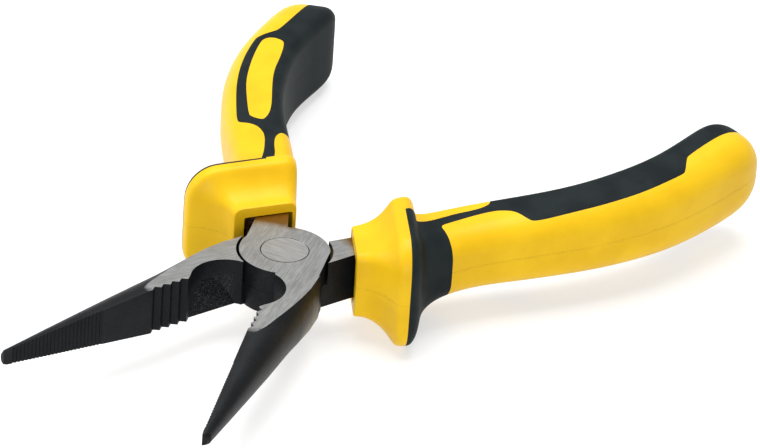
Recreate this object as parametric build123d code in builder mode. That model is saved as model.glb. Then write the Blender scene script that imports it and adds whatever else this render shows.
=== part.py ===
from build123d import *
import math
import os

# Long-nose pliers, millimetres. +Z is the pivot axis, the jaws point to -Y and the grips to +Y, and the
# origin is where the pivot axis meets the lower ground face. Each half is first drawn as it lies when the
# pliers are shut, with Z = 0 midway between the ground faces, half A with its jaw on +X and its grip on -X.
# It is then turned open about the pivot and raised. Half B is the same shape turned over about the Y axis.

# Whole tool
open_angle = 41.4          # between the jaws as the pliers lie
jaw_length = 60.2          # pivot axis to tip
head_thickness = 9.04      # over the two ground faces
grip_end = 96.6            # pivot axis to the end of the grips

# Lap joint
lap_radius = 8.3
lap_relief = 0.55          # from the rim of a lap to the round wall that it turns in
lap_gap = 0.05             # between the two lap faces
cheek_inset = 0.28         # how far the flat outer side beside the lap stays inside the lap's radius
rivet_shank_radius = 3.0
rivet_head_radius = 4.53
rivet_head_depth = 1.6
rivet_edge = 0.12          # bevel round the filed-flush head
running_clearance = 0.05   # between the rivet and the half that turns on it

# Jaw
tip_gap = 0.05             # from the meeting plane to the gripping face, at the tip
root_gap = 0.35            # the same, at the coarse teeth
tip_half_thickness = 1.39
jaw_thickness_slope = 0.1006
coarse_tooth_start = 19.9
coarse_tooth_pitch = 1.93
coarse_tooth_count = 5
coarse_tooth_depth = 0.8
fine_tooth_start = 39.6
fine_tooth_pitch = 0.8
fine_tooth_depth = 0.25
pocket_start = 8.75        # pivot axis to the near end of the pocket behind the teeth
pocket_end = 20.2
pocket_depth = 3.65
pocket_ramp_foot = 1.35    # what the sloping floor of the pocket leaves, from the meeting plane
pocket_ramp_slope = 2.45

# Grip and tang
socket_centre = (-5.9, 11.1)   # middle of the grip's mouth
seat_turn = {"a": 2.6, "b": 0.0}   # how far each grip is set outwards on its tang, degrees
grip_tilt = 1.6                # how far each grip leans towards the other half's ground face, degrees
inner_edge_radius = 2.4        # of the two edges of a grip's inner side
inlay_depth = 1.6              # thickness of the dark soft inlay
rim_seam_depth = 9.3           # from the mouth to where the inlay starts on the rim
mouth_depth = 5.0              # from the mouth to the start of the adhesive

half_thickness = head_thickness / 2
fine_tooth_count = int((jaw_length - 1 - fine_tooth_start) / fine_tooth_pitch)
turn_radius = lap_radius + lap_relief
tang_root_side = lap_radius - 0.5   # outer side of the tang where it leaves the lap
beyond = 60.0                  # half the size of the blocks used to trim solids


def box_between(low, high):
    """Solid block between two corners."""
    size = [h - l for l, h in zip(low, high)]
    return Pos(*low) * Box(*size, align=(Align.MIN, Align.MIN, Align.MIN), mode=Mode.PRIVATE)


def upright_plane(outer, inner, z):
    """Upright plane through two plan points, X along them and Y upwards, centred between them."""
    dx, dy = inner[0] - outer[0], inner[1] - outer[1]
    middle = ((outer[0] + inner[0]) / 2, (outer[1] + inner[1]) / 2, z)
    return Plane(origin=middle, x_dir=(dx, dy, 0), z_dir=(dy, -dx, 0))


def stretched(y, start, table_end, end):
    """A distance from a table drawn for one length, carried over to the length that is asked for."""
    return y if y < start else start + (y - start) * (end - start) / (table_end - start)


def seated(point, turn):
    """A plan point of the grip after the grip is turned outwards about the middle of its mouth."""
    a = math.radians(turn)
    x, y = point[0] - socket_centre[0], stretched(point[1], 31, 96.6, grip_end) - socket_centre[1]
    c, s = math.cos(a), math.sin(a)
    return (socket_centre[0] + c * x - s * y, socket_centre[1] + s * x + c * y)


def lean(y):
    """Height of the grip's middle at a distance y behind the pivot."""
    return -math.tan(math.radians(grip_tilt)) * max(y - socket_centre[1], 0)


# ---- forged half: jaw, lap and tang ----

# distance from pivot, width of the half-round section, squareness of the section, share of the thickness
jaw_sections = [
    (60.2, 0.95, 2.3, 0.8),
    (59.5, 1.5, 2.3, 0.97),
    (50, 3.0, 2.45, 1.0),
    (40, 4.55, 2.5, 1.0),
    (34, 5.5, 2.45, 1.0),
    (29, 6.2, 2.45, 1.0),
    (24, 6.8, 2.5, 1.0),
    (21, 7.15, 2.7, 1.0),
    (18, 7.5, 3.0, 1.0),
    (12, 7.95, 4.0, 1.0),
    (6, 8.0, 5.0, 1.0),
    (0, 7.95, 6.0, 1.0),
]
# distance behind pivot, outer and inner side, half thickness of the tang
tang_sections = [
    (7.0, -tang_root_side, -1.2, half_thickness),
    (14.0, -7.9, -2.6, half_thickness),
    (22.0, -10.2, -5.8, half_thickness - 0.32),
    (34.0, -13.4, -9.8, 3.6),
    (50.0, -17.4, -14.6, 2.8),
    (66.0, -19.4, -17.4, 2.2),
]


def jaw_gap(y):
    """Distance of the gripping face from the meeting plane."""
    share = min(max((jaw_length - y) / (jaw_length - coarse_tooth_start), 0), 1)
    return tip_gap + (root_gap - tip_gap) * share


def half_round(width, half_height, squareness, x0, steps=7):
    """Edge points of the rounded back of the jaw, from its lower to its upper corner."""
    points = []
    for i in range(steps):
        a = math.pi * (i / (steps - 1) - 0.5)
        c, s = max(math.cos(a), 0.0), math.sin(a)
        x = x0 + width * c ** (2 / squareness)
        z = half_height * math.copysign(abs(s) ** (2 / squareness), s)
        points.append((x, z))
    return points


def tooth_cut(start, pitch, count, depth):
    """Row of V grooves across a gripping face, along Z."""
    edge = [(-1, -start + pitch / 2)]
    for i in range(count):
        y = start + i * pitch
        edge += [(jaw_gap(y - pitch / 2), -y + pitch / 2), (jaw_gap(y) + depth, -y)]
    last = start + (count - 0.5) * pitch
    edge += [(jaw_gap(last), -last), (-1, -last)]
    with BuildPart() as cut:
        with BuildSketch(Plane.XY.offset(-half_thickness - 1)):
            with BuildLine():
                Polyline(*edge, close=True)
            make_face()
        extrude(amount=head_thickness + 2)
    return cut.part


def pocket(ramp_side):
    """Pocket behind the teeth, with a sloping floor towards one ground face."""
    middle = -(pocket_start + pocket_end) / 2
    with BuildPart() as cut:
        with BuildSketch(Plane.XY.offset(-half_thickness - 1)):
            with BuildLine():
                ThreePointArc((0, -pocket_start), (pocket_depth, middle), (0.7, -pocket_end))
                Polyline((0.7, -pocket_end), (-2, -pocket_end), (-2, -pocket_start), (0, -pocket_start))
            make_face()
        extrude(amount=head_thickness + 2)
        foot = ramp_side * half_thickness
        top = foot - ramp_side * pocket_ramp_slope * (pocket_depth + 1 - pocket_ramp_foot)
        with BuildSketch(Plane.XZ.offset(pocket_start - 2)):
            with BuildLine():
                Polyline((pocket_ramp_foot, foot), (pocket_ramp_foot, foot + ramp_side * 2),
                         (pocket_depth + 1, foot + ramp_side * 2), (pocket_depth + 1, top), close=True)
            make_face()
        extrude(amount=pocket_end - pocket_start + 4, mode=Mode.SUBTRACT)
    return cut.part


def forged_half(turn, ramp_side, bore_clearance):
    """One forging as it lies in the shut pliers, with its lap on the upper side."""
    with BuildPart() as jaw:
        for table_y, width, squareness, share in jaw_sections:
            y = stretched(table_y, 24, 60.2, jaw_length)
            x0 = jaw_gap(y)
            height = share * (tip_half_thickness + jaw_thickness_slope * (jaw_length - y))
            back = half_round(width, height, squareness, x0)
            with BuildSketch(Plane(origin=(0, -y, 0), x_dir=(1, 0, 0), z_dir=(0, -1, 0))):
                with BuildLine():
                    Spline(*back)
                    Line(back[-1], back[0])
                make_face()
        loft(ruled=True)
    with BuildPart() as tang:
        for i, (y, outer, inner, half) in enumerate(tang_sections):
            p, q = (outer, y), (inner, y)
            if i > 1:
                p, q = seated(p, turn), seated(q, turn)
            with BuildSketch(upright_plane(p, q, lean(y) if i > 1 else 0)):
                Rectangle(math.dist(p, q), 2 * half)
        loft(ruled=True)
    with BuildPart() as half:
        add(jaw)
        with BuildSketch(Plane.XY):
            Circle(lap_radius)
        extrude(amount=half_thickness)
        with BuildSketch(Plane.XY.offset(-half_thickness)):
            with BuildLine():
                Polyline((-tang_root_side, 0), (-tang_root_side, 7.2), (-1.2, 7.2), (-0.2, 0), close=True)
            make_face()
        extrude(amount=head_thickness)
        add(tang)
        add(box_between((-beyond, -beyond - 5, half_thickness), (beyond, 14, beyond)), mode=Mode.SUBTRACT)
        add(box_between((-beyond, -beyond - 5, -beyond), (beyond, 14, -half_thickness)), mode=Mode.SUBTRACT)
        add(box_between((lap_radius - cheek_inset, -7, -beyond), (beyond, 14, beyond)), mode=Mode.SUBTRACT)
        # room for the other half's lap, below this one
        with BuildSketch(Plane.XY.offset(lap_gap / 2)):
            Circle(turn_radius)
        extrude(amount=-half_thickness - 1, mode=Mode.SUBTRACT)
        add(pocket(ramp_side), mode=Mode.SUBTRACT)
        add(tooth_cut(coarse_tooth_start, coarse_tooth_pitch, coarse_tooth_count, coarse_tooth_depth),
            mode=Mode.SUBTRACT)
        add(tooth_cut(fine_tooth_start, fine_tooth_pitch, fine_tooth_count, fine_tooth_depth),
            mode=Mode.SUBTRACT)
        # countersunk bore of the pivot rivet
        with BuildSketch(Plane.XY.offset(-1)):
            Circle(rivet_shank_radius + bore_clearance)
        extrude(amount=half_thickness + 2, mode=Mode.SUBTRACT)
        add(rivet_head(bore_clearance), mode=Mode.SUBTRACT)
    return half.part


def rivet_head(clearance):
    """Cone of one rivet head, flush with the upper ground face."""
    bottom = half_thickness - rivet_head_depth
    with BuildPart() as head:
        with BuildSketch(Plane.XY.offset(bottom)):
            Circle(rivet_shank_radius + clearance)
        with BuildSketch(Plane.XY.offset(half_thickness)):
            Circle(rivet_head_radius + clearance)
        loft()
    return head.part


# ---- grip: yellow body, dark soft inlay, adhesive ----

mouth_lean = 30.5              # between the mouth of the grip and the X axis, degrees


def collar_point(depth, across):
    """Plan point of the collar: depth behind its mouth, across from its middle, inwards positive."""
    a = math.radians(mouth_lean)
    x = socket_centre[0] - depth * math.sin(a) + across * math.cos(a)
    y = socket_centre[1] + depth * math.cos(a) + across * math.sin(a)
    return (x, y)


def collar_section(depth, outer, inner, half, corner):
    """Section of the collar parallel to its mouth."""
    return (collar_point(depth, outer), collar_point(depth, inner), half, corner)


def handle_section(y, outer, inner, half, corner):
    """Section of the handle square to the Y axis."""
    return ((outer, y), (inner, y), half, corner)


# each section: outer plan point, inner plan point, half thickness, corner radius; distances behind 31 mm
# are for a grip that ends 96.6 mm behind the pivot
grip_sections = [
    collar_section(0, -6.5, 5.6, 6.6, 1.6),
    collar_section(2.2, -6.8, 6.3, 6.75, 1.7),
    collar_section(4.0, -7.9, 7.0, 7.4, 2.2),
    collar_section(5.4, -9.5, 7.5, 8.5, 3.3),
    collar_section(6.5, -11.3, 7.9, 9.8, 4.8),
    collar_section(7.2, -12.7, 8.1, 10.9, 6.0),
    collar_section(8.8, -12.95, 8.6, 11.2, 6.2),
    collar_section(10.4, -12.75, 9.0, 11.1, 6.1),
    collar_section(11.6, -10.6, 9.2, 9.3, 5.0),
    ((-17.6, 18.4), (-3.6, 24.6), 7.9, 4.4),
    ((-16.6, 22.0), (-3.9, 26.2), 7.0, 4.4),
    ((-16.5, 25.5), (-4.1, 28.0), 6.6, 4.5),
    handle_section(31, -17.1, -4.6, 6.5, 4.7),
    handle_section(36, -18.3, -5.9, 6.7, 4.9),
    handle_section(42, -20.1, -7.9, 7.0, 5.1),
    handle_section(49, -22.1, -10.1, 7.2, 5.2),
    handle_section(56, -23.7, -11.7, 7.4, 5.2),
    handle_section(63, -24.6, -12.4, 7.6, 5.3),
    handle_section(70, -24.7, -12.6, 7.9, 5.4),
    handle_section(76, -24.1, -12.0, 8.1, 5.5),
    handle_section(82, -22.9, -10.6, 8.3, 5.6),
    handle_section(88, -21.4, -8.8, 8.4, 5.7),
    handle_section(91.4, -20.6, -8.2, 8.0, 5.5),
    handle_section(94.2, -19.3, -8.6, 6.9, 4.9),
    handle_section(96.0, -17.8, -9.7, 5.1, 3.8),
    handle_section(96.6, -16.2, -11.2, 3.3, 2.4),
]
inlay_first_section = 6     # the dark inlay starts in the land of the guard's rim


def grip_loft(sections, turn, inset=0.0):
    """Solid through upright sections of the grip, drawn in by the inset."""
    with BuildPart() as body:
        for outer, inner, half, corner in sections:
            p, q = seated(outer, turn), seated(inner, turn)
            with BuildSketch(upright_plane(p, q, lean((outer[1] + inner[1]) / 2))) as section:
                Rectangle(math.dist(p, q) - 2 * inset, 2 * (half - inset))
                fillet(section.vertices().group_by(Axis.X)[0], corner - inset)
                fillet(section.vertices().group_by(Axis.X)[-1], min(corner, inner_edge_radius) - inset)
        loft(ruled=True)
    return body.part


# distance behind pivot, outer and inner side, half thickness of the socket for the tang
socket_sections = [
    ((-11.5, 6.6), (-0.2, 12.4), half_thickness + 0.08),
    ((-9.7, 9.0), (-1.75, 13.65), half_thickness + 0.08),
    ((-11.2, 22), (-4.9, 22), half_thickness + 0.23),
    ((-14.3, 34), (-9.0, 34), 4.2),
    ((-18.3, 50), (-13.7, 50), 3.4),
    ((-20.4, 67), (-16.4, 67), 2.8),
]
# plan outline of the dark inlay, the same on both faces
inlay_outline = [
    collar_point(rim_seam_depth, -18), collar_point(rim_seam_depth, 2.6), (-8.3, 30.8), (-9.7, 35.9),
    (-9.6, 38.6), (-8.4, 40.2), (4, 40.2), (4, 102), (-13.2, 102), (-13.6, 92), (-17.3, 78.8),
    (-21.0, 75.4), (-21.8, 66), (-21.1, 57.3), (-19.7, 50), (-17.8, 42.6), (-14.0, 41.0), (-11.8, 38.0),
    (-10.9, 33), (-10.6, 27.4), (-26, 24.2),
]
# plan outline of the yellow window in it, on one face only
window_outline = [
    (-13.0, 43.9), (-16.0, 44.7), (-18.1, 52.0), (-19.4, 58.0), (-19.9, 65.8), (-19.6, 73.4),
    (-17.8, 75.0), (-15.4, 74.2), (-14.8, 69.3), (-15.0, 63.0), (-14.2, 57.1), (-12.3, 47.5),
]


def slab(outline, turn, low, high):
    """Upright block over a plan outline, between two heights."""
    with BuildPart() as block:
        with BuildSketch(Plane.XY.offset(low)):
            with BuildLine():
                Polyline(*[seated(p, turn) for p in outline], close=True)
            make_face()
        extrude(amount=high - low)
    return block.part


def socket_solid(turn):
    """Room for the tang inside a grip, from in front of its mouth."""
    with BuildPart() as room:
        for outer, inner, half in socket_sections:
            p, q = seated(outer, turn), seated(inner, turn)
            with BuildSketch(upright_plane(p, q, lean((outer[1] + inner[1]) / 2))):
                Rectangle(math.dist(p, q), 2 * half)
        loft(ruled=True)
    return room.part


def make_half(name, turn, ramp_side, bore_clearance, place):
    """All the pieces of one half, each in its own file, turned open to where they lie."""
    forging = forged_half(turn, ramp_side, bore_clearance)
    body = grip_loft(grip_sections, turn)
    core = grip_loft(grip_sections[inlay_first_section - 1:-1], turn, inlay_depth)
    with BuildPart() as inlay:
        add(body)
        add(slab(inlay_outline, turn, -beyond, beyond), mode=Mode.INTERSECT)
        add(core, mode=Mode.SUBTRACT)
        add(slab(window_outline, turn, 0, beyond), mode=Mode.SUBTRACT)
        add(socket_solid(turn), mode=Mode.SUBTRACT)
    with BuildPart() as grip:
        add(body)
        add(inlay, mode=Mode.SUBTRACT)
        add(socket_solid(turn), mode=Mode.SUBTRACT)
    with BuildPart() as adhesive:
        add(socket_solid(turn))
        add(forging, mode=Mode.SUBTRACT)
        with BuildSketch(Plane.XY.offset(-beyond)):
            with BuildLine():
                Polyline((-30, -5), (30, -5), (30, socket_centre[1] + mouth_depth + 3),
                         (-30, socket_centre[1] + mouth_depth - 3), close=True)
            make_face()
        extrude(amount=2 * beyond, mode=Mode.SUBTRACT)
    pieces = {"jaw_half": forging, "grip": grip.part, "soft_inlay": inlay.part, "adhesive": adhesive.part}
    for piece_name, piece in pieces.items():
        placed = piece.moved(place)
        placed.label = f"{piece_name}_{name}"
        export_step(placed, f"parts/{placed.label}.step")


os.makedirs("parts", exist_ok=True)
half_open = open_angle / 2
raised = Pos(0, 0, half_thickness)
make_half("a", seat_turn["a"], -1, 0, raised * Rot(0, 0, half_open))
make_half("b", seat_turn["b"], 1, running_clearance, raised * Rot(0, 0, -half_open) * Rot(0, 180, 0))

with BuildPart() as pivot_rivet:
    with BuildSketch(Plane.XY.offset(-half_thickness + rivet_head_depth)):
        Circle(rivet_shank_radius)
    extrude(amount=head_thickness - 2 * rivet_head_depth)
    add(rivet_head(0))
    add(rivet_head(0).rotate(Axis.X, 180))
    chamfer(pivot_rivet.faces().filter_by(Axis.Z).sort_by(Axis.Z)[-1].edges(), rivet_edge)
    chamfer(pivot_rivet.faces().filter_by(Axis.Z).sort_by(Axis.Z)[0].edges(), rivet_edge)
placed_rivet = pivot_rivet.part.moved(raised)
placed_rivet.label = "pivot_rivet"
export_step(placed_rivet, "parts/pivot_rivet.step")
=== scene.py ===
import math

import bmesh
import bpy
from mathutils import Matrix, Vector


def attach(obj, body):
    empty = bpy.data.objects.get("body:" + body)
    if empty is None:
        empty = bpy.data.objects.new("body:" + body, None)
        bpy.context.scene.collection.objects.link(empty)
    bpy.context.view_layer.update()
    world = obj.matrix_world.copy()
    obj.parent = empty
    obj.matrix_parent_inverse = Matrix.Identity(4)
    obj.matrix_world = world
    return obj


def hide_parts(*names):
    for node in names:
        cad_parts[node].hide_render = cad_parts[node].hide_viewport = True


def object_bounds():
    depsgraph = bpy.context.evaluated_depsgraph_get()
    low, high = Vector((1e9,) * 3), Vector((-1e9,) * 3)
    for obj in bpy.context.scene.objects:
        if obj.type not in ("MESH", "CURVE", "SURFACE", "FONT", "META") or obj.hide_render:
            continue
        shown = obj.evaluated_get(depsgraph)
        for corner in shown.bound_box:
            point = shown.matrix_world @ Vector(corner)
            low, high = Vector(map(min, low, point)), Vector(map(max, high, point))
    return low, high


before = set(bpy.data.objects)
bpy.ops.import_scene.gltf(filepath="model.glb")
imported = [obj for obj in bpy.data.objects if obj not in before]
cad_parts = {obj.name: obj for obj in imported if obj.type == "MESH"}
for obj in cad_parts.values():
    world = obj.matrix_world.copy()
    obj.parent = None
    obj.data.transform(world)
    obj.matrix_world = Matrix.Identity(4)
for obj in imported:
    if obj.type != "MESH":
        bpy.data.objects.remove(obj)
cad_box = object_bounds()


# ---- Floor, light and camera ----
# A white light table under the tool, a big soft light over it and two fill panels, and a long lens that
# looks down over the jaws from the grip side of half B.

MM = 0.001
floor_size = 8
floor_height = cad_box[0][2] - 0.05 * MM      # just under the lowest point of the tool
table_grey = 0.45
table_glow = 0.58

bpy.ops.object.select_all(action="DESELECT")
bpy.ops.mesh.primitive_plane_add(size=floor_size, location=(0, 0, floor_height))
floor = bpy.context.object
floor.name = "light_table"
table = bpy.data.materials.new("lit_white_acrylic")
table.use_nodes = True
table_surface = table.node_tree.nodes["Principled BSDF"]
table_surface.inputs["Base Color"].default_value = (table_grey, table_grey, table_grey, 1)
table_surface.inputs["Roughness"].default_value = 0.8
table_surface.inputs["Specular IOR Level"].default_value = 0.1
table_surface.inputs["Emission Color"].default_value = (1, 1, 1, 1)
table_surface.inputs["Emission Strength"].default_value = table_glow
floor.data.materials.append(table)


light_target = (0, 0.02, 0)


def panel(name, place, width, height, power):
    """A rectangular soft light that looks at the head of the tool; metres and watts."""
    bpy.ops.object.light_add(type="AREA", location=place)
    lamp = bpy.context.object
    lamp.name = name
    lamp.data.shape = "RECTANGLE"
    lamp.data.size = width
    lamp.data.size_y = height
    lamp.data.energy = power
    lamp.rotation_euler = (Vector(light_target) - Vector(place)).to_track_quat("-Z", "Y").to_euler()


panel("overhead_panel", (-0.12, 0.15, 0.85), 0.7, 0.7, 9.5)
panel("left_panel", (-0.75, -0.35, 0.45), 0.5, 0.5, 3.2)
panel("front_panel", (0.45, -0.80, 0.30), 0.6, 0.4, 3.4)

room_glow = 0.46
sky = bpy.data.worlds.new("pale_room")
bpy.context.scene.world = sky
sky.use_nodes = True
sky.node_tree.nodes["Background"].inputs["Color"].default_value = (1, 1, 1, 1)
sky.node_tree.nodes["Background"].inputs["Strength"].default_value = room_glow
bpy.context.scene.view_settings.view_transform = "Standard"

camera_turn = math.radians(31.62)
camera_height = math.radians(29.95)
camera_roll = math.radians(3.79)
camera_distance = 1089.28 * MM
mid_height = 4.52 * MM         # midway between the two ground faces of the head
picture_width = 760
focal_length = 6006            # in the unit of the picture's width
sensor_width = 36
aim_offset = (-96.46 * camera_distance / focal_length, -47.39 * camera_distance / focal_length)

back = Vector((math.sin(camera_turn) * math.cos(camera_height),
               -math.cos(camera_turn) * math.cos(camera_height), math.sin(camera_height)))
right = Vector((math.cos(camera_turn), math.sin(camera_turn), 0))
up = back.cross(right)
right, up = (right * math.cos(camera_roll) + up * math.sin(camera_roll),
             up * math.cos(camera_roll) - right * math.sin(camera_roll))
eye = back * camera_distance - right * aim_offset[0] - up * aim_offset[1] + Vector((0, 0, mid_height))
bpy.ops.object.camera_add()
camera = bpy.context.object
camera.name = "long_lens"
camera.matrix_world = Matrix((
    (right.x, up.x, back.x, eye.x), (right.y, up.y, back.y, eye.y), (right.z, up.z, back.z, eye.z),
    (0, 0, 0, 1)))
camera.data.sensor_width = sensor_width
camera.data.lens = focal_length * sensor_width / picture_width
camera.data.clip_start = 0.05
bpy.context.scene.camera = camera


# ---- Forged halves ----
# Two drop forgings in tool steel, each a half-round jaw, a lap and a tang in one piece. They are oil
# blackened all over, and then the two flat faces of the head are ground bright on a belt.

class Wire:
    """A node's output that takes part in sums. Each sum adds its own Math node."""

    def __init__(self, finish, socket):
        self.finish = finish
        self.socket = socket

    def maths(self, operation, first, second=0.0):
        return self.finish.add("ShaderNodeMath", {"operation": operation}, {0: first, 1: second})

    def __add__(self, other):
        return self.maths("ADD", self, other)

    def __sub__(self, other):
        return self.maths("SUBTRACT", self, other)

    def __rsub__(self, other):
        return self.maths("SUBTRACT", other, self)

    def __mul__(self, other):
        return self.maths("MULTIPLY", self, other)

    def __abs__(self):
        return self.maths("ABSOLUTE", self)

    __radd__ = __add__
    __rmul__ = __mul__


class Finish:
    """A material with one surface shader, its nodes made by one method."""

    def __init__(self, name, **even):
        self.material = bpy.data.materials.new(name)
        self.material.use_nodes = True
        self.tree = self.material.node_tree
        self.surface = self.tree.nodes["Principled BSDF"]
        for socket, value in even.items():
            self.surface.inputs[socket.replace("_", " ")].default_value = value
        self.place = self.add("ShaderNodeTexCoord", output="Object")

    def add(self, kind, settings=None, inputs=None, output=0):
        """One node: its type, its settings, then the values or wires of its sockets."""
        node = self.tree.nodes.new(kind)
        for name, value in (settings or {}).items():
            setattr(node, name, value)
        for socket, value in (inputs or {}).items():
            if isinstance(value, Wire):
                self.tree.links.new(value.socket, node.inputs[socket])
            else:
                node.inputs[socket].default_value = value
        return Wire(self, node.outputs[output])

    def turned(self, rotation=(0, 0, 0), scale=(1, 1, 1), source=None):
        """Places seen from axes that are turned or stretched."""
        return self.add("ShaderNodeMapping", {}, {"Vector": source or self.place,
                                                  "Rotation": rotation, "Scale": scale})

    def axis(self, name, source=None):
        """One coordinate, in metres."""
        return self.add("ShaderNodeSeparateXYZ", {}, {0: source or self.place}, name)

    def cloud(self, size, detail=2.0, roughness=0.5, source=None):
        """Soft noise whose lumps are about this many metres across."""
        return self.add("ShaderNodeTexNoise", {}, {"Vector": source or self.place, "Scale": 1 / size,
                                                   "Detail": detail, "Roughness": roughness}, "Fac")

    def ramp(self, value, low, high, out_low=0.0, out_high=1.0):
        """A smooth step of a value from one level to another."""
        return self.add("ShaderNodeMapRange", {"interpolation_type": "SMOOTHSTEP"},
                        {"Value": value, "From Min": low, "From Max": high, "To Min": out_low,
                         "To Max": out_high}, "Result")

    def blend(self, share, first, second):
        """Colour between two colours."""
        colours = [c if isinstance(c, Wire) else (*c, 1) for c in (first, second)]
        return self.add("ShaderNodeMix", {"data_type": "RGBA"}, {0: share, 6: colours[0], 7: colours[1]}, 2)

    def feed(self, **wires):
        """Wires that lead into the surface shader."""
        for socket, wire in wires.items():
            self.tree.links.new(wire.socket, self.surface.inputs[socket.replace("_", " ")])

    def bump(self, height, depth):
        """Relief of this many metres at a height of one."""
        self.feed(Normal=self.add("ShaderNodeBump", {}, {"Height": height, "Distance": depth,
                                                         "Strength": 1.0}, "Normal"))


half_open = math.radians(20.7)  # of each half, from where it lies when the tool is shut
black_oxide = (0.0045, 0.0052, 0.0062)
black_oxide_worn = (0.012, 0.0135, 0.0155)
ground_steel = (0.53, 0.535, 0.53)
ground_steel_dark = (0.35, 0.355, 0.35)
ground_steel_soiled = (0.23, 0.21, 0.18)
# colour of the painted glints in the pocket
painted_pocket_glint = (0.07, 0.074, 0.078)
# colour of the painted reflection on the flank
painted_flank_reflection = (0.20, 0.185, 0.155)
# colour of the painted reflection of the yellow grip on the tang
painted_grip_reflection = (0.24, 0.12, 0.010)


def forging_finish(name, turn, grip_reflection_start):
    """Oil-blackened steel, ground bright where it reaches the planes of the two head faces.

    The distances are along and across the half as it lies shut, so its turn is taken off first.
    """
    steel = Finish(name, Specular_IOR_Level=0.12)
    along = steel.turned(rotation=(0, 0, turn))
    x, y = abs(steel.axis("X", along)), steel.axis("Y", along)
    height = steel.axis("Z") - mid_height
    from_middle = abs(height)
    patchy = steel.cloud(2.4 * MM, 3)
    ground = (steel.ramp(from_middle + patchy * (0.05 * MM), 4.50 * MM, 4.535 * MM)
              * steel.ramp(y + patchy * (3.0 * MM), -28.6 * MM, -25.2 * MM))
    # belt marks: long fine scratches along the jaw, a few deeper than the rest
    marks = steel.turned(scale=(1, 0.06, 1),
                         source=steel.turned(rotation=(0, 0, turn + math.radians(7))))
    fine = steel.cloud(0.16 * MM, 2, 0.6, marks)
    coarse = steel.cloud(0.55 * MM, 3, 0.7, marks)
    scratch = fine * 0.6 + coarse * 0.4
    soil = steel.cloud(5 * MM, 4, 0.6)
    scale_grain = steel.cloud(0.35 * MM, 4, 0.65)
    bright = steel.blend(steel.ramp(scratch, 0.36, 0.64), ground_steel_dark, ground_steel)
    bright = steel.blend(steel.ramp(soil, 0.5, 0.75, 0, 0.35), bright, ground_steel_soiled)
    worn = steel.ramp(scale_grain * 0.6 + soil * 0.4, 0.4, 0.75)
    dark = steel.blend(worn, black_oxide, black_oxide_worn)
    # painted glints: light specks in the colour of the sloping floor of the pocket behind the teeth,
    # standing in for the sparkle of its rough forged skin; the same noise also bumps that skin
    in_pocket = (steel.ramp(y, -20.2 * MM, -19.2 * MM)
                 * (1 - steel.ramp(y, -10.6 * MM, -9.4 * MM))
                 * (1 - steel.ramp(x, 3.9 * MM, 4.3 * MM))
                 * (1 - steel.ramp(height, 0.2 * MM, 2.2 * MM)))
    pocket_grain_and_glints = steel.cloud(0.15 * MM, 1, 0.4)
    dark = steel.blend(in_pocket * steel.ramp(pocket_grain_and_glints, 0.58, 0.68), dark, painted_pocket_glint)
    # painted reflection: a brownish, half bright patch on the lower outer flank beside the lap, put in the
    # colour of the blackened steel
    flank_reflection_mask = (steel.ramp(x + patchy * (0.8 * MM), 5.9 * MM, 8.2 * MM)
             * steel.ramp(y, -20 * MM, -13 * MM)
             * (1 - steel.ramp(y, -8.2 * MM, -7.0 * MM))
             * (1 - steel.ramp(height, -3.2 * MM, 0.8 * MM)))
    dark = steel.blend(flank_reflection_mask * 0.85, dark, painted_flank_reflection)
    # painted reflection: a brown tint where the tang goes into its grip, standing in for the yellow grip
    # mirrored in the ground steel
    grip_reflection_mask = steel.ramp(y + patchy * (2.0 * MM), grip_reflection_start, grip_reflection_start + 2.2 * MM)
    bright = steel.blend(grip_reflection_mask * 0.95, bright, painted_grip_reflection)
    steel.feed(Base_Color=steel.blend(ground, dark, bright), Metallic=ground * 0.95,
               Roughness=0.40 + (scale_grain - 0.5) * 0.2 - ground * 0.08)
    relief = scratch * ground * 0.5 + scale_grain * (1 - ground) + in_pocket * pocket_grain_and_glints * 3
    steel.bump(relief, 0.02 * MM)
    return steel.material


for half, turn, grip_reflection_start in (("a", -half_open, 8.1 * MM), ("b", half_open, 11.2 * MM)):
    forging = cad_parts["jaw_half_" + half]
    forging.data.materials.clear()
    forging.data.materials.append(forging_finish("blackened_forging_" + half, turn, grip_reflection_start))


# ---- Pivot rivet ----
# A steel rivet peened into both laps and ground flush with them, so its head shows as a bright round
# with belt marks of its own direction and a fine dark ring round it.

rivet_dull = (0.37, 0.37, 0.365)
rivet_bright = (0.56, 0.56, 0.55)
rivet_rim_dirt = (0.06, 0.055, 0.05)

rivet_steel = Finish("ground_rivet", Metallic=1.0)
rivet_marks = rivet_steel.turned(rotation=(0, 0, math.radians(-34)), scale=(0.05, 1, 1))
rivet_scratch = (rivet_steel.cloud(0.14 * MM, 2, 0.6, rivet_marks) * 0.6
                 + rivet_steel.cloud(0.5 * MM, 3, 0.7, rivet_marks) * 0.4)
rivet_reach = rivet_steel.add("ShaderNodeVectorMath", {"operation": "LENGTH"},
                              {0: rivet_steel.turned(scale=(1, 1, 0))}, "Value")
rivet_rim = rivet_steel.ramp(rivet_reach + rivet_steel.cloud(3 * MM, 2) * (0.24 * MM),
                             4.38 * MM, 4.50 * MM)
rivet_tone = rivet_steel.blend(rivet_steel.ramp(rivet_scratch, 0.34, 0.62), rivet_dull, rivet_bright)
rivet_steel.feed(Base_Color=rivet_steel.blend(rivet_rim, rivet_tone, rivet_rim_dirt),
                 Roughness=0.30 + rivet_scratch * 0.1)
rivet_steel.bump(rivet_scratch, 0.01 * MM)
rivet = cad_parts["pivot_rivet"]
rivet.data.materials.clear()
rivet.data.materials.append(rivet_steel.material)


# ---- Adhesive ----
# Each tang is set in its grip with a two-part resin, which shows as a rough brown bead down in the
# mouth of the grip.

resin_dark = (0.035, 0.014, 0.004)
resin_light = (0.26, 0.12, 0.035)

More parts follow.
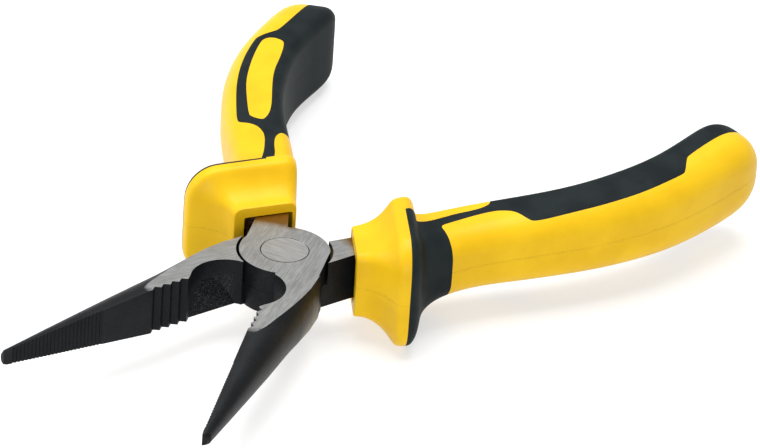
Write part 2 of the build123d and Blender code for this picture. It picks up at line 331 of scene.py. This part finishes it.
resin = Finish("brown_resin", Roughness=0.45)
resin_lumps = resin.cloud(0.7 * MM, 4, 0.6)
resin.feed(Base_Color=resin.blend(resin.ramp(resin_lumps, 0.35, 0.65), resin_dark, resin_light))
resin.bump(resin_lumps, 0.4 * MM)
for half in "ab":
    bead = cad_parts["adhesive_" + half]
    bead.data.materials.clear()
    bead.data.materials.append(resin.material)


# ---- Grips: yellow bodies ----
# Each grip is moulded twice in one tool: first the hard yellow body with its flared finger guard and
# the square socket for the tang, then the dark soft inlay over its inner side.

socket_centre = (-5.9, 11.1)      # middle of the grip's mouth, mm, as half A lies when shut
mouth_lean = math.radians(30.5)   # between the mouth of the grip and the X axis
grip_lean = math.tan(math.radians(1.6))   # the grip sinks this much for each step away from its mouth
inner_edge_radius = 2.4           # of the two edges along the inner side of the grip, mm
ring_points = 40                  # in one ring: four corner arcs and four sides
corner_points = 8


def collar_point(depth, across):
    """Plan point of the collar: depth behind its mouth, across from its middle, inwards positive."""
    return (socket_centre[0] - depth * math.sin(mouth_lean) + across * math.cos(mouth_lean),
            socket_centre[1] + depth * math.cos(mouth_lean) + across * math.sin(mouth_lean))


def collar(depth, outer, inner, half, corner):
    """A ring parallel to the mouth."""
    return (collar_point(depth, outer), collar_point(depth, inner), half, corner)


def handle(y, outer, inner, half, corner):
    """A ring square to the Y axis."""
    return ((outer, y), (inner, y), half, corner)


# outer plan point, inner plan point, half thickness, corner radius, all in mm
grip_rings = [
    collar(0, -6.5, 5.6, 6.6, 1.6),
    collar(1.0, -6.6, 5.9, 6.65, 1.65),
    collar(2.2, -6.8, 6.3, 6.75, 1.7),
    collar(4.0, -7.9, 7.0, 7.4, 2.2),
    collar(5.4, -9.5, 7.5, 8.5, 3.3),
    collar(6.5, -11.3, 7.9, 9.8, 4.8),
    collar(7.2, -12.7, 8.1, 10.9, 6.0),
    collar(7.9, -13.0, 8.3, 11.2, 6.2),
    collar(9.2, -13.0, 8.7, 11.25, 6.2),
    collar(10.4, -12.8, 9.0, 11.15, 6.1),
    collar(11.6, -10.6, 9.2, 9.3, 5.0),
    ((-17.6, 18.4), (-3.6, 24.6), 7.9, 4.4),
    ((-16.6, 22.0), (-3.9, 26.2), 7.0, 4.4),
    ((-16.5, 25.5), (-4.1, 28.0), 6.6, 4.5),
    handle(31, -17.1, -4.6, 6.5, 4.7),
    handle(36, -18.3, -5.9, 6.7, 4.9),
    handle(42, -20.1, -7.9, 7.0, 5.1),
    handle(49, -22.1, -10.1, 7.2, 5.2),
    handle(56, -23.7, -11.7, 7.4, 5.2),
    handle(63, -24.6, -12.4, 7.6, 5.3),
    handle(70, -24.7, -12.6, 7.9, 5.4),
    handle(76, -24.1, -12.0, 8.1, 5.5),
    handle(82, -22.9, -10.6, 8.3, 5.6),
    handle(88, -21.4, -8.8, 8.4, 5.7),
    handle(91.4, -20.6, -8.2, 8.0, 5.5),
    handle(94.2, -19.3, -8.6, 6.9, 4.9),
    handle(96.0, -17.8, -9.7, 5.1, 3.8),
    handle(96.9, -16.2, -11.2, 3.1, 2.3),
]


def ring_outline(outer, inner, half, corner, inset):
    """Points round one rounded rectangle of the grip, in metres."""
    width, half = math.dist(outer, inner) / 2 - inset, half - inset
    arcs = []
    for quarter, (sx, sz) in enumerate(((1, 1), (-1, 1), (-1, -1), (1, -1))):
        radius = (min(corner, inner_edge_radius) if sx > 0 else corner) - inset
        angles = [math.pi / 2 * (quarter + step / (corner_points - 1)) for step in range(corner_points)]
        arcs.append([(sx * (width - radius) + radius * math.cos(angle),
                      sz * (half - radius) + radius * math.sin(angle)) for angle in angles])
    middle = ((outer[0] + inner[0]) / 2, (outer[1] + inner[1]) / 2)
    across = [(inner[axis] - outer[axis]) / math.dist(outer, inner) for axis in (0, 1)]
    droop = grip_lean * max(middle[1] - socket_centre[1], 0)
    points = []
    for arc, following in zip(arcs, arcs[1:] + arcs[:1]):
        points += arc
        for share in (1 / 3, 2 / 3):
            points.append([arc[-1][axis] * (1 - share) + following[0][axis] * share
                           for axis in (0, 1)])
    return [Vector((middle[0] + s * across[0], middle[1] + s * across[1], t - droop)) * MM
            for s, t in points]


def loft_rings(name, rings, inset):
    """A closed body, drawn out ring by ring from a disc."""
    bpy.ops.object.select_all(action="DESELECT")
    bpy.ops.mesh.primitive_circle_add(vertices=ring_points, radius=0.01, fill_type="NGON")
    body = bpy.context.object
    body.name = name
    bpy.ops.object.mode_set(mode="EDIT")
    for number, ring in enumerate(rings):
        if number:
            bpy.ops.mesh.extrude_region_move()
        shape = bmesh.from_edit_mesh(body.data)
        slot = shape.verts.layers.int.get("slot") or shape.verts.layers.int.new("slot")
        row = shape.verts.layers.int.get("row") or shape.verts.layers.int.new("row")
        shape.faces.ensure_lookup_table()
        if not number:
            for place, vertex in enumerate(shape.faces[0].verts):
                vertex[slot] = place
        outline = ring_outline(*ring, inset)
        for vertex in shape.verts:
            if vertex.select:
                vertex.co = outline[vertex[slot]]
                vertex[row] = number
        bmesh.update_edit_mesh(body.data)
    bpy.ops.mesh.select_all(action="SELECT")
    bpy.ops.mesh.normals_make_consistent(inside=False)
    bpy.ops.mesh.select_all(action="DESELECT")
    bpy.ops.object.mode_set(mode="OBJECT")
    return body


def cut(piece, tool, operation):
    """One solid cut by, or kept inside, another."""
    knife = piece.modifiers.new("cut", "BOOLEAN")
    knife.operation = operation
    knife.object = tool
    knife.solver = "EXACT"
    bpy.context.view_layer.objects.active = piece
    bpy.ops.object.modifier_apply(modifier=knife.name)


def smoothed(piece, levels):
    """Rounds a body off between its rings."""
    rounding = piece.modifiers.new("rounding", "SUBSURF")
    rounding.levels = rounding.render_levels = levels
    bpy.context.view_layer.objects.active = piece
    bpy.ops.object.modifier_apply(modifier=rounding.name)


def creased(body, number, strength):
    """Keeps the edge of one ring sharp."""
    bpy.context.view_layer.objects.active = body
    bpy.ops.object.mode_set(mode="EDIT")
    shape = bmesh.from_edit_mesh(body.data)
    row = shape.verts.layers.int["row"]
    for edge in shape.edges:
        edge.select_set(all(vertex[row] == number for vertex in edge.verts))
    bmesh.update_edit_mesh(body.data)
    bpy.ops.transform.edge_crease(value=strength)
    bpy.ops.object.mode_set(mode="OBJECT")


# the socket comes first: its floor, then its opening in the mouth; these edges stay sharp, and the
# outer edge of the mouth is only a little rounded
socket_rings = [collar(9.5, -3.9, 3.9, 4.66, 0.4), collar(0.02, -4.5, 4.9, 4.66, 0.4)]
rounding_steps = 2
whole_grip = loft_rings("whole_grip", socket_rings + grip_rings, 0)
for ring_number, sharpness in enumerate((1.0, 1.0, 0.35)):
    creased(whole_grip, ring_number, sharpness)
smoothed(whole_grip, rounding_steps)

# plan outlines in mm, a corner written twice stays sharp: where the dark inlay lies, on both faces
rim_seam_depth = 9.3
rim_seam = (collar_point(rim_seam_depth, -18), collar_point(rim_seam_depth, 2.6))
inlay_outline = [
    rim_seam[0], rim_seam[0], rim_seam[1], rim_seam[1],
    (-8.3, 30.8), (-9.7, 35.9), (-9.7, 38.8), (-8.3, 40.2), (4, 40.2), (4, 40.2),
    (4, 102), (4, 102), (-13.2, 102), (-13.2, 102), (-13.6, 92), (-17.0, 79.4),
    (-17.9, 78.2), (-20.6, 75.9), (-21.1, 74.8), (-21.8, 66), (-21.1, 57.3), (-19.7, 50),
    (-18.2, 43.2), (-17.2, 42.0), (-14.4, 41.2), (-13.2, 40.2), (-11.8, 38.0), (-10.9, 33),
    (-10.6, 28.4), (-10.8, 27.1), (-12.0, 26.6), (-26, 24.2), (-26, 24.2),
]
# and the yellow window in it, on one face only
window_outline = [
    (-12.9, 44.0), (-13.8, 43.5), (-15.6, 44.1), (-16.3, 45.0), (-18.1, 52.0), (-19.4, 58.0),
    (-19.9, 65.8), (-19.7, 73.2), (-19.0, 75.0), (-17.5, 75.6), (-15.8, 75.0), (-15.1, 73.9),
    (-14.8, 69.3), (-15.0, 63.0), (-14.2, 57.1), (-12.5, 48.0),
]
inlay_thickness = 1.6
first_inlay_ring = 6              # the bed of the inlay starts in front of the rim of the guard
beyond = 30                       # above and below everything, mm


def curved_slab(name, outline, low, high):
    """An upright block over a rounded plan outline."""
    line = bpy.data.curves.new(name, "CURVE")
    line.dimensions = "2D"
    line.fill_mode = "BOTH"
    line.resolution_u = 6
    line.extrude = (high - low) / 2 * MM
    edge = line.splines.new("NURBS")
    edge.points.add(len(outline) - 1)
    for point, (x, y) in zip(edge.points, outline):
        point.co = (x * MM, y * MM, 0, 1)
    edge.order_u = 3
    edge.use_cyclic_u = True
    block = bpy.data.objects.new(name, line)
    bpy.context.collection.objects.link(block)
    block.location = (0, 0, (high + low) / 2 * MM)
    bpy.ops.object.select_all(action="DESELECT")
    block.select_set(True)
    bpy.context.view_layer.objects.active = block
    bpy.ops.object.convert(target="MESH")
    bpy.ops.object.transform_apply(location=True)
    bpy.ops.object.mode_set(mode="EDIT")
    bpy.ops.mesh.select_all(action="SELECT")
    bpy.ops.mesh.remove_doubles(threshold=0.001 * MM)
    bpy.ops.mesh.normals_make_consistent(inside=False)
    bpy.ops.object.mode_set(mode="OBJECT")
    return block


def copied(piece, name):
    """A copy with a mesh of its own."""
    twin = piece.copy()
    twin.data = piece.data.copy()
    twin.name = name
    bpy.context.collection.objects.link(twin)
    return twin


inlay_room = curved_slab("inlay_room", inlay_outline, -beyond, beyond)
inlay_bed = loft_rings("inlay_bed", grip_rings[first_inlay_ring:-1], inlay_thickness)
smoothed(inlay_bed, rounding_steps)
window_block = curved_slab("window_block", window_outline, 0, beyond + 2)
cut(inlay_room, inlay_bed, "DIFFERENCE")
cut(inlay_room, window_block, "DIFFERENCE")
whole_inlay = copied(whole_grip, "whole_inlay")
cut(whole_inlay, inlay_room, "INTERSECT")
cut(whole_grip, inlay_room, "DIFFERENCE")

# grip A sits a little further outwards on its tang, turned about the middle of its mouth
seat_turn_a = math.radians(2.6)
to_mouth = Matrix.Translation((socket_centre[0] * MM, socket_centre[1] * MM, 0))
from_mouth = Matrix.Translation((-socket_centre[0] * MM, -socket_centre[1] * MM, 0))
turn_to_place = {
    "a": Matrix.Rotation(half_open, 4, "Z") @ to_mouth @ Matrix.Rotation(seat_turn_a, 4, "Z") @ from_mouth,
    "b": Matrix.Rotation(-half_open, 4, "Z") @ Matrix.Rotation(math.pi, 4, "Y"),
}


sharp_from = math.radians(38)     # edges that turn more than this are shaded sharp


def fitted(master, name, half, finish):
    """A copy of a moulding on its half of the pliers, with its finish."""
    piece = copied(master, name)
    piece.matrix_world = Matrix.Translation((0, 0, mid_height)) @ turn_to_place[half]
    bpy.ops.object.select_all(action="DESELECT")
    piece.select_set(True)
    bpy.context.view_layer.objects.active = piece
    bpy.ops.object.transform_apply()
    bpy.ops.object.shade_smooth_by_angle(angle=sharp_from)
    piece.data.materials.clear()
    piece.data.materials.append(finish)
    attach(piece, "half_" + half)
    return piece


def above_seam(finish, half):
    """Height above the mould's parting line, which follows the droop of the grip."""
    side = 1 if half == "a" else -1
    along = finish.turned(rotation=(0, 0, -side * half_open))
    droop = (finish.axis("Y", along) - socket_centre[1] * MM) * grip_lean
    return (finish.axis("Z") - mid_height) * side + droop


yellow_deep = (0.70, 0.418, 0.0085)
yellow_pale = (0.76, 0.468, 0.0105)
yellow_soiled = (0.50, 0.33, 0.02)


def yellow_finish(half):
    """Hard satin polypropylene, faintly uneven, with the parting line of the mould."""
    body = Finish("yellow_moulding_" + half, Specular_IOR_Level=0.12)
    height = above_seam(body, half)
    ripple = body.cloud(0.9 * MM, 2, 0.5)
    grain = body.cloud(0.22 * MM, 2, 0.6)
    wash = body.cloud(9 * MM, 3, 0.5)
    parting = 1 - body.ramp(abs(height), 0.03 * MM, 0.10 * MM)
    near_parting = 1 - body.ramp(abs(height), 0.1 * MM, 0.5 * MM)
    pits = body.ramp(body.cloud(0.5 * MM, 1), 0.60, 0.68) * near_parting
    tone = body.blend(body.ramp(wash, 0.35, 0.65), yellow_deep, yellow_pale)
    tone = body.blend(pits * 0.3 + parting * 0.12, tone, yellow_soiled)
    body.feed(Base_Color=tone, Roughness=0.36 + (grain - 0.5) * 0.14 + (wash - 0.5) * 0.10)
    body.bump(ripple * 0.7 + grain * 0.3 + parting * 1.2 - pits, 0.035 * MM)
    return body.material


for half in "ab":
    grip = fitted(whole_grip, "yellow_grip_" + half, half, yellow_finish(half))
    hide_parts("grip_" + half)


# ---- Grips: dark soft inlays ----
# A blue-black soft rubber moulded into a bed in the yellow body, flush with it. It wraps the back of
# the finger guard and the inner side of the handle, and leaves an open window on one face.

rubber_deep = (0.0110, 0.0150, 0.0160)
rubber_worn = (0.0165, 0.0215, 0.0225)


def inlay_finish(half):
    """Soft rubber with the fine matt grain of a spark-eroded mould."""
    rubber = Finish("soft_inlay_" + half, Specular_IOR_Level=0.03)
    height = above_seam(rubber, half)
    grain = rubber.cloud(0.16 * MM, 3, 0.65)
    ripple = rubber.cloud(1.1 * MM, 2, 0.5)
    wash = rubber.cloud(7 * MM, 3, 0.55)
    parting = 1 - rubber.ramp(abs(height), 0.03 * MM, 0.11 * MM)
    tone = rubber.blend(rubber.ramp(wash, 0.35, 0.65), rubber_deep, rubber_worn)
    rubber.feed(Base_Color=tone, Roughness=0.50 + (grain - 0.5) * 0.18 + (wash - 0.5) * 0.12)
    rubber.bump(grain * 0.5 + ripple * 0.5 + parting * 1.2, 0.04 * MM)
    return rubber.material


for half in "ab":
    inlay = fitted(whole_inlay, "dark_inlay_" + half, half, inlay_finish(half))
    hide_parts("soft_inlay_" + half)

for spare in (whole_grip, whole_inlay, inlay_room, inlay_bed, window_block):
    bpy.data.objects.remove(spare)
